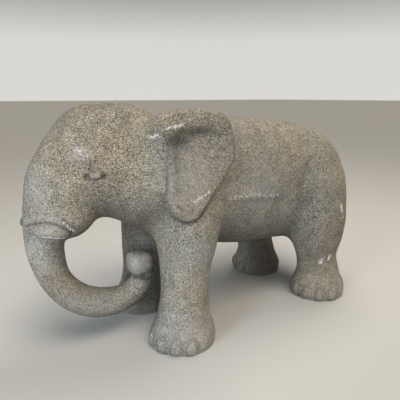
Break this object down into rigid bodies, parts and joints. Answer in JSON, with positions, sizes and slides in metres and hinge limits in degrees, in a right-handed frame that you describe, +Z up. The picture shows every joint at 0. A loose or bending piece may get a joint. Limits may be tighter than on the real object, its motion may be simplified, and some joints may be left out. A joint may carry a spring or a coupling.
{
  "type": "elephant sculpture",
  "caption": "Solid carved granite elephant standing on its own feet, with a curled trunk, short tusks and thick rolled ears, for a table, shelf or plinth.",
  "frame": {"origin": "on the ground under the middle of the bounding box", "axes": "+Z up, the elephant faces -X and its left side is at -Y"},
  "size_m": [0.5436, 0.2294, 0.3196],
  "materials": {
    "granite": "honed, matte, speckled grey"
  },
  "bodies": {
    "root": {"elephant": "granite"}
  },
  "joints": []
}
